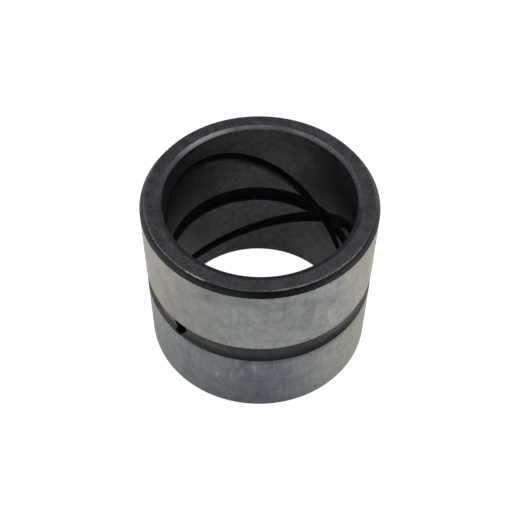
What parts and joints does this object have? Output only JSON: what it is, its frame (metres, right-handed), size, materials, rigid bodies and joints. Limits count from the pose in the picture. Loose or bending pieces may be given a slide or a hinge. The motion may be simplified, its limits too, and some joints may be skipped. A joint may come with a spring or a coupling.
{
  "type": "bushing",
  "caption": "Plain cylindrical sleeve bushing with a grease groove round its outside, crossing oil grooves in its bore and grease holes through the wall.",
  "frame": {"origin": "on the bore's axis, at the lower end face that it stands on", "axes": "+Z along the bore, up; +X to the right as seen from the picture's side, which looks along +Y"},
  "size_m": [0.08, 0.08, 0.068],
  "materials": {
    "steel": "hardened steel: ground bright grey on the outside, dark oxide on the ends, chamfers, grooves and bore"
  },
  "bodies": {
    "root": {"bushing": "steel"}
  },
  "joints": []
}
